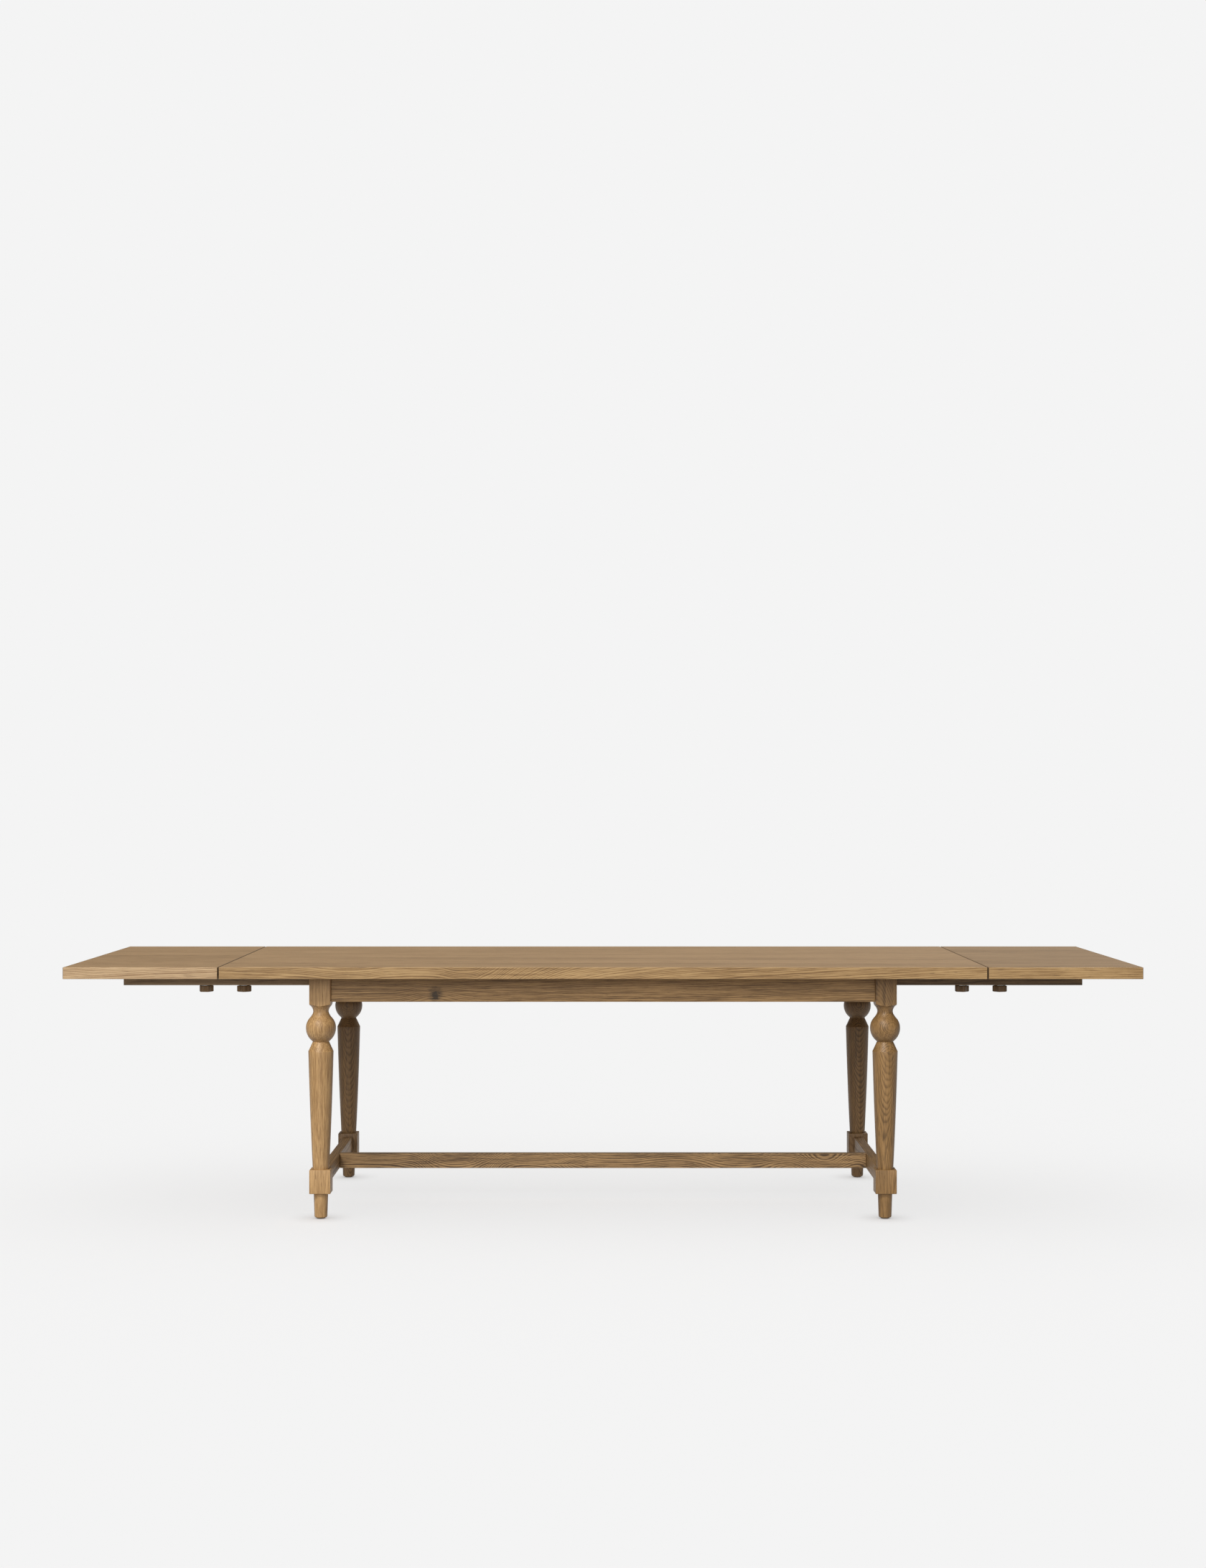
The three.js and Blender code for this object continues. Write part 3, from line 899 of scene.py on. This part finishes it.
def make_tops():
    middle = bored(board("middle_top"), holes_in("middle_top", "middle", middle_dowel_hole))
    woods = [top_oak("middle_top_oak", 1), middle_edge_oak(), top_oak("middle_end_oak", 1, END_GRAIN_AND_SEAM_SHADE)]
    add_piece("oak_middle_top", middle, woods, "middle_top")
    give_faces_woods(middle)
    for end, slope, seed, stain in (("left", 0.05, 2, 0.98), ("right", 0.02, 5, 0.88)):
        node = f"{end}_leaf"
        mesh = bored(board(node), holes_in(node, "leaf", leaf_dowel_hole))
        woods = [
            top_oak(f"{end}_leaf_oak", seed, stain),
            leaf_edge_oak(end, slope, seed),
            top_oak(f"{end}_leaf_end_oak", seed, END_GRAIN_AND_SEAM_SHADE),
        ]
        add_piece(f"oak_{end}_leaf", mesh, woods, node)
        give_faces_woods(mesh)


# ---- Legs ----

HALF_BLOCK = 31.75 * MM
BLOCK_CORNER = 1.4 * MM
BLOCK_ROUNDING = 2 * MM
LOWER_BLOCK = (77 * MM, 149 * MM)
UPPER_BLOCK_BOTTOM = 640 * MM
UPPER_BLOCK_CUT = (6 * MM, 14.2 * MM)  # how high the turning cuts into its corners, and how deep
FOOT_FLAT = 15.2 * MM  # the radius of the flat underside
FOOT_EDGE = (19.4 * MM, 5 * MM)  # the radius and height at which the rounded edge ends
FOOT_MIDDLE = (20.4 * MM, 40 * MM)
FOOT_TOP = 21.7 * MM
SHAFT_BOTTOM = 24.7 * MM
SHAFT_TAPER = 13.1 * MM  # how much thicker the shaft is at its shoulder
SHAFT_SWELL = 0.9 * MM  # how far it bulges on the way
SHOULDER = 502 * MM
CONE_BOTTOM = (36.6 * MM, 504.6 * MM)
CONE_TOP = (25.2 * MM, 529.6 * MM)
BALL_MIDDLE = 572.7 * MM
BALL_RADIUS = 45 * MM
BALL_RISE = 45 * MM
BALL_DROP = 48 * MM
BALL_SEAT = 24.8 * MM  # its radius where it meets the cone
NECK_BOTTOM = (31.7 * MM, 604.7 * MM)
NECK_WAIST = (23.3 * MM, 622.5 * MM)


def square_radius(half, corner, angle):
    """How far a square with rounded corners reaches from its centre, at an angle."""
    turned = angle % (math.pi / 2)
    across, up = math.cos(turned), math.sin(turned)
    inner = half - corner
    straight = half / max(across, up)
    if straight * min(across, up) <= inner:
        return straight
    towards = inner * (across + up)
    return towards + math.sqrt(max(0, towards**2 - 2 * inner**2 + corner**2))


def square_ring(height, inset=0.0, turned_radius=1.0):
    """A square ring, or the part of it inside a turned radius."""
    half = HALF_BLOCK - inset

    def radius_at(angle):
        return min(turned_radius, square_radius(half, BLOCK_CORNER, angle))

    return height, radius_at


def leg_angles():
    """Angles round a leg, closer together at a block's corners."""
    corner = [43.6, 44.0, 44.5, 45.0, 45.5, 46.0, 46.4]
    quadrant = [4.0 * i for i in range(11)] + corner + [50 + 4.0 * i for i in range(10)]
    return [math.radians(90 * turn + angle) for turn in range(4) for angle in quadrant]


def bezier(start, bend, end, steps=8):
    """Points on a quadratic curve, without its first."""
    points = []
    for i in range(1, steps + 1):
        t = i / steps
        weights = ((1 - t) ** 2, 2 * t * (1 - t), t**2)
        point = []
        for values in zip(start, bend, end):
            point.append(sum(weight * value for weight, value in zip(weights, values)))
        points.append(point)
    return points


def quarter_turn(steps):
    """The sine and cosine of each angle from 0 to 90 degrees."""
    for i in range(steps + 1):
        angle = i / steps * math.pi / 2
        yield math.sin(angle), math.cos(angle)


def foot_rings(bottom):
    yield round_ring(bottom, FOOT_FLAT)
    radius, rise = FOOT_EDGE
    bend = (radius - 0.2 * MM, bottom)
    for radius, height in bezier((FOOT_FLAT, bottom), bend, (radius, bottom + rise), steps=6):
        yield round_ring(height, radius)
    radius, height = FOOT_MIDDLE
    yield round_ring(height, radius)
    yield round_ring(LOWER_BLOCK[0] - 1.2 * MM, FOOT_TOP)
    yield round_ring(LOWER_BLOCK[0], FOOT_TOP - 1.1 * MM)


def lower_block_rings():
    low, high = LOWER_BLOCK
    for sine, cosine in quarter_turn(4):
        yield square_ring(low + BLOCK_ROUNDING * (1 - cosine), inset=BLOCK_ROUNDING * (1 - sine))
    for sine, cosine in quarter_turn(4):
        yield square_ring(high - BLOCK_ROUNDING * (1 - sine), inset=BLOCK_ROUNDING * (1 - cosine))


def shaft_rings():
    """From a fine groove at the block, up a long swelling taper, to the shoulder and the cone on it."""
    low = LOWER_BLOCK[1]
    yield round_ring(low, SHAFT_BOTTOM + 0.9 * MM)
    yield round_ring(low - 0.8 * MM, SHAFT_BOTTOM - 0.5 * MM)
    yield round_ring(low + 1.2 * MM, SHAFT_BOTTOM)
    steps = 24
    for i in range(1, steps + 1):
        share = i / steps
        height = low + share * (SHOULDER - low)
        swell = SHAFT_SWELL * math.sin(math.pi * share)
        yield round_ring(height, SHAFT_BOTTOM + SHAFT_TAPER * share**0.97 + swell)
    radius, height = CONE_BOTTOM
    yield round_ring(height - 1.2 * MM, radius + 0.9 * MM)
    for share in (0, 0.33, 0.66, 1.0):
        radius, height = [a + share * (b - a) for a, b in zip(CONE_BOTTOM, CONE_TOP)]
        yield round_ring(height, radius)
    yield round_ring(height + 1.4 * MM, radius - 0.8 * MM)


def ball_rings():
    lowest = -math.acos(BALL_SEAT / BALL_RADIUS)
    highest = math.acos(NECK_BOTTOM[0] / BALL_RADIUS)
    steps = 26
    for i in range(1, steps + 1):
        angle = lowest + i / steps * (highest - lowest)
        half_height = BALL_DROP if angle < 0 else BALL_RISE
        yield round_ring(BALL_MIDDLE + half_height * math.sin(angle), BALL_RADIUS * math.cos(angle))


def neck_rings():
    waist = NECK_WAIST[0]
    for radius, height in bezier(NECK_BOTTOM, (waist - 0.1 * MM, 615 * MM), NECK_WAIST):
        yield round_ring(height, radius)
    block_edge = (HALF_BLOCK, UPPER_BLOCK_BOTTOM)
    for radius, height in bezier(NECK_WAIST, (waist + 0.2 * MM, 632 * MM), block_edge)[:-1]:
        yield round_ring(height, radius)


def upper_block_rings(top):
    """The corners of the block are turned away below, which leaves a shallow arch on each face."""
    rise, reach = UPPER_BLOCK_CUT
    steps = 10
    for i in range(steps + 1):
        share = i / steps
        yield square_ring(UPPER_BLOCK_BOTTOM + share * rise, turned_radius=HALF_BLOCK + share * reach)
    yield square_ring(top - 40 * MM)
    yield square_ring(top)


# For each leg: where the rings' heart lies from its axis at the floor, how the heart leans, the rings'
# spacing and strength, the tone and the seed. Rings show as arches where the surface grazes them.
LEG_WOODS = {
    "front_left": {
        "heart": (87 * MM, 23 * MM),
        "lean": (-0.02, -0.006),
        "spacing": 3.2 * MM,
        "ring": 0.32,
        "tone": TAN_TONE,
        "seed": 11,
    },
    "front_right": {
        "heart": (67 * MM, 62 * MM),
        "lean": (-0.18, 0.08),
        "spacing": 2.4 * MM,
        "ring": 0.55,
        "tone": BROWN_TONE,
        "seed": 12,
    },
    # The back legs' darker tone is partly their own wood and partly painted shade from the top above them.
    "back_left": {
        "heart": (-20 * MM, 75 * MM),
        "lean": (0.03, 0.09),
        "spacing": 2.6 * MM,
        "ring": 0.6,
        "tone": DARK_WOOD_AND_PAINTED_SHADE_TONE,
        "seed": 13,
    },
    "back_right": {
        "heart": (-46 * MM, 65 * MM),
        "lean": (0.08, 0.12),
        "spacing": 2.4 * MM,
        "ring": 0.7,
        "tone": DARK_WOOD_AND_PAINTED_SHADE_TONE,
        "seed": 14,
    },
}


def leg_oak(name, centre, look):
    heart = [middle + offset for middle, offset in zip(centre, look["heart"])]
    wood = Oak(name, "Z", heart, look["lean"], look["spacing"], look["seed"])
    return wood.finished(
        look["tone"],
        wander=17 * MM,
        waves=2.2 * MM,
        ring=look["ring"],
        fine=1.4,
        mottle=0.7,
    )


def make_legs():
    for corner, look in LEG_WOODS.items():
        node = f"leg_{corner}"
        low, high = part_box(node)
        centre = centre_of(node)
        rings = [
            *foot_rings(low.z),
            *lower_block_rings(),
            *shaft_rings(),
            *ball_rings(),
            *neck_rings(),
            *upper_block_rings(high.z),
        ]
        mesh = revolved(node, rings, leg_angles(), centre)
        wood = leg_oak(f"{node}_oak", centre, look)
        add_piece(f"turned_{node}", mesh, [wood], node)


# ---- Frame ----

RAIL_EDGE = 1.2 * MM
STRETCHER_EDGE = 1.8 * MM
BLOCK_EDGE = 0.8 * MM
APRON_KNOT = (-0.503, 0.673)  # how far along the front apron its knot is, and how high


def rail_oak(name, along, heart, tone, seed, lean=(0.0, 0.02), wander=18 * MM, ring=0.6):
    wood = Oak(name, along, heart, lean, spacing=4.4 * MM, seed=seed)
    return wood.finished(tone, wander=wander, waves=2.4 * MM, ring=ring, fine=1.4, roughness=0.5)


def front_apron_oak():
    """Long grain that arches over a dark knot, left of the middle."""
    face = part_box("front_apron")[0].y
    knot = (APRON_KNOT[0], face, APRON_KNOT[1])
    heart = (face + 0.05, 0.60)
    wood = Oak("front_apron_oak", "X", heart, lean=(0, 0.02), spacing=4.4 * MM, seed=21)
    wood.sweep_round(knot, (130 * MM, 60 * MM, 60 * MM), -17 * MM)
    return wood.finished(
        APRON_TONE,
        wander=22 * MM,
        waves=2.6 * MM,
        ring=0.7,
        fine=1.6,
        roughness=0.5,
        knots=[(knot, (19 * MM, 20 * MM, 21 * MM))],
    )


def make_aprons():
    woods = {
        "front_apron": front_apron_oak(),
        "back_apron": rail_oak("back_apron_oak", "X", (0.37, 0.62), APRON_TONE, 22),
        "left_apron": rail_oak("left_apron_oak", "Y", (-0.82, 0.61), APRON_TONE, 23),
        "right_apron": rail_oak("right_apron_oak", "Y", (0.82, 0.60), APRON_TONE, 24),
    }
    for node, wood in woods.items():
        add_piece(f"oak_{node}", eased_copy(node, RAIL_EDGE), [wood], node)


# How high the grain runs along the centre stretcher, from its left end to its right end.
STRETCHER_SWEEP = 95 * MM
STRETCHER_SWEEP_POINTS = [
    (0.00, 0.20),
    (0.14, 0.30),
    (0.22, 0.62),
    (0.28, 0.50),
    (0.36, 0.16),
    (0.45, 0.40),
    (0.52, 0.52),
    (0.64, 0.44),
    (0.76, 0.62),
    (0.86, 0.50),
    (1.00, 0.70),
]


def centre_stretcher_oak():
    low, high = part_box("centre_stretcher")
    wood = Oak("centre_stretcher_oak", "X", (0.03, 0.075), (0, 0.01), spacing=3.6 * MM, seed=31)
    wood.rise(low.x, high.x, STRETCHER_SWEEP, STRETCHER_SWEEP_POINTS)
    eye = (0.70, low.y, 0.116)
    wood.sweep_round(eye, (120 * MM, 60 * MM, 60 * MM), 30 * MM)
    return wood.finished(STRIPED_TONE, wander=22 * MM, waves=2.6 * MM, ring=1.0, fine=1.5, roughness=0.5)


def make_stretchers():
    woods = {
        "centre_stretcher": centre_stretcher_oak(),
        "left_stretcher": rail_oak("left_stretcher_oak", "Y", (-0.80, 0.10), BROWN_TONE, 32),
        "right_stretcher": rail_oak("right_stretcher_oak", "Y", (0.80, 0.09), BROWN_TONE, 33),
    }
    for node, wood in woods.items():
        add_piece(f"oak_{node}", eased_copy(node, STRETCHER_EDGE), [wood], node)


def make_slides():
    # Each end's slides take their tone, the left ones with painted light.
    woods = {end: rail_oak(f"{end}_slide_oak", "X", (0.0, 0.80), SLIDE_TONES_WITH_PAINTED_LIGHT[end], 41) for end in ENDS}
    for corner in CORNERS:
        node = f"slide_{corner}"
        wood = woods[end_of(corner)]
        add_piece(f"oak_{node}", eased_copy(node, RAIL_EDGE), [wood], node)


def make_hidden_wood():
    """Bearers, corner blocks and buttons, in plain unstained wood."""
    across = rail_oak("bearer_wood", "Y", (0.0, 0.55), PLAIN_TONE, 51)
    lengthwise = rail_oak("block_wood", "X", (0.0, 0.58), PLAIN_TONE, 52)
    for end in ENDS:
        node = f"{end}_bearer"
        add_piece(f"plain_{node}", eased_copy(node, RAIL_EDGE), [across], node)
    for corner in CORNERS:
        for node in (f"corner_block_{corner}", f"top_button_{corner}"):
            add_piece(f"plain_{node}", eased_copy(node, BLOCK_EDGE), [lengthwise], node)


# ---- Turned and bought-in parts ----

KNOB_LOBES = 5
KNOB_RADIUS = 20.3 * MM
KNOB_LOBE_RISE = 2.1 * MM
KNOB_UNDER_ROUNDING = 2.6 * MM
KNOB_TOP_ROUNDING = 1.4 * MM
KNOB_BORE_DEPTH = 11.4 * MM
KNOB_TURNS = {  # in degrees, of the knob under the middle top and the one under the leaf
    "front_left": (20, 47),
    "front_right": (5, 33),
    "back_left": (61, 12),
    "back_right": (40, 26),
}


def knob_turn(kind, corner, sign_x, sign_y):
    """The angle at which a knob was left. The CAD model mirrors it from corner to corner."""
    turn = math.radians(KNOB_TURNS[corner][0 if kind == "middle" else 1])
    if sign_x < 0:
        turn = math.pi - turn
    return turn if sign_y > 0 else -turn


def lobed_ring(height, inset, lobe_share, turn):
    def radius_at(angle):
        lobe = KNOB_LOBE_RISE * lobe_share * math.cos(KNOB_LOBES * (angle - turn))
        return KNOB_RADIUS - inset + lobe

    return height, radius_at


def knob_rings(low, high, turn):
    """Round under, with full soft lobes, a shallow dish below and a bore above."""
    yield round_ring(low + 1.0 * MM, 4 * MM)
    yield round_ring(low + 0.5 * MM, 9 * MM)
    yield lobed_ring(low, 5.2 * MM, 0.5, turn)
    for sine, cosine in quarter_turn(6):
        height = low + KNOB_UNDER_ROUNDING * (1 - cosine)
        yield lobed_ring(height, KNOB_UNDER_ROUNDING * (1 - sine), 0.6 + 0.4 * sine, turn)
    for sine, cosine in quarter_turn(6):
        height = high - KNOB_TOP_ROUNDING * (1 - sine)
        yield lobed_ring(height, KNOB_TOP_ROUNDING * (1 - cosine), 1.0, turn)
    yield round_ring(high, STUD_HOLE + 0.9 * MM)
    yield round_ring(high - 0.8 * MM, STUD_HOLE)
    yield round_ring(high - KNOB_BORE_DEPTH, STUD_HOLE)


WASHER_HOLE = 4.8 * MM
WASHER_RIM = 15 * MM
WASHER_EASE = 0.4 * MM
THREAD_PITCH = 1.25 * MM
THREAD_ROOT = 3.35 * MM
THREAD_CREST = 4.0 * MM
GLIDE_RADIUS = 13 * MM


def washer_rings(low, high):
    """From the hole's lower edge, out under the washer, over its rim and back to the hole."""
    hole, rim, eased = WASHER_HOLE, WASHER_RIM, WASHER_EASE
    yield round_ring(low, hole)
    yield round_ring(low, rim - eased)
    yield round_ring(low + eased, rim)
    yield round_ring(high - eased, rim)
    yield round_ring(high, rim - eased)
    yield round_ring(high, hole)


def stud_rings(low, high):
    """A threaded rod, drawn as close rings, with a bevel at each end."""
    bevelled = THREAD_ROOT - 0.35 * MM
    yield round_ring(low, bevelled)
    count = int((high - low - 2 * THREAD_PITCH) / THREAD_PITCH)
    for i in range(count):
        height = low + THREAD_PITCH * (i + 1)
        yield round_ring(height, THREAD_ROOT)
        yield round_ring(height + 0.4 * THREAD_PITCH, THREAD_CREST)
        yield round_ring(height + 0.6 * THREAD_PITCH, THREAD_CREST)
    yield round_ring(high, bevelled)


def glide_rings(low, high):
    yield round_ring(low, GLIDE_RADIUS - 1.4 * MM)
    yield round_ring(low + 0.4 * MM, GLIDE_RADIUS - 0.4 * MM)
    yield round_ring(low + 1.2 * MM, GLIDE_RADIUS)
    yield round_ring(high, GLIDE_RADIUS)


def knob_oak(end):
    wood = Oak(f"{end}_knob_wood", "Z", (1.0, 0.0), (0.05, 0.0), spacing=3 * MM, seed=61)
    # The tone for each end holds painted light on the left and painted shade on the right.
    return wood.finished(KNOB_TONES_WITH_PAINTED_LIGHT_AND_SHADE[end], wander=10 * MM, waves=2 * MM, roughness=0.42)


def make_stud(node, metal):
    low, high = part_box(node)
    mesh = revolved(node, stud_rings(low.z, high.z), even_angles(24), centre_of(node))
    add_piece(f"steel_{node}", mesh, [metal], node)


def make_washer(node, metal):
    low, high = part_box(node)
    mesh = hollow(node, washer_rings(low.z, high.z), even_angles(48), centre_of(node))
    add_piece(f"steel_{node}", mesh, [metal], node)


def make_knob(node, turn, centre, wood):
    low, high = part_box(node)
    mesh = revolved(node, knob_rings(low.z, high.z, turn), even_angles(90), centre)
    add_piece(f"wooden_{node}", mesh, [wood], node)


def make_clamps():
    metal = steel()
    knob_woods = {end: knob_oak(end) for end in ENDS}
    for corner, (sign_x, sign_y) in CORNERS.items():
        knob_wood = knob_woods[end_of(corner)]
        for kind in ("middle", "leaf"):
            stud = f"{kind}_stud_{corner}"
            turn = knob_turn(kind, corner, sign_x, sign_y)
            make_stud(stud, metal)
            make_washer(f"{kind}_washer_{corner}", metal)
            make_knob(f"{kind}_knob_{corner}", turn, centre_of(stud), knob_wood)


def make_glides():
    plastic = nylon()
    for corner in CORNERS:
        node = f"glide_{corner}"
        low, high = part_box(node)
        mesh = revolved(node, glide_rings(low.z, high.z), even_angles(48), centre_of(node))
        add_piece(f"nylon_{node}", mesh, [plastic], node)


DOWEL_RADIUS = 5 * MM
DOWEL_FLUTES = 16
FLUTE_DEPTH = 0.24 * MM
# How much thinner a dowel is at each share of its length: its ends are bevelled.
DOWEL_BEVELS = ((0, 0.9 * MM), (0.02, 0.1 * MM), (0.04, 0), (0.96, 0), (0.98, 0.1 * MM), (1, 0.9 * MM))


def fluted_dowel(node):
    low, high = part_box(node)
    middle = (low + high) / 2
    bm = bmesh.new()
    rows = []
    for share, inset in DOWEL_BEVELS:
        x = low.x + share * (high.x - low.x)
        row = []
        for angle in even_angles(DOWEL_FLUTES * 4):
            groove = FLUTE_DEPTH * (1 - math.cos(DOWEL_FLUTES * angle)) / 2
            radius = DOWEL_RADIUS - inset - groove
            y = middle.y + radius * math.cos(angle)
            z = middle.z + radius * math.sin(angle)
            row.append(bm.verts.new((x, y, z)))
        rows.append(row)
    join_rows(bm, rows)
    close_ends(bm, rows)
    return mesh_from(node, bm)


def make_dowels():
    """Beech pins along X, with fine flutes."""
    wood = rail_oak("dowel_wood", "X", (0.0, 0.70), PLAIN_TONE, 71)
    for corner in CORNERS:
        node = f"dowel_{corner}"
        add_piece(f"beech_{node}", fluted_dowel(node), [wood], node)


make_tops()
make_legs()
make_aprons()
make_stretchers()
make_slides()
make_hidden_wood()
make_clamps()
make_glides()
make_dowels()
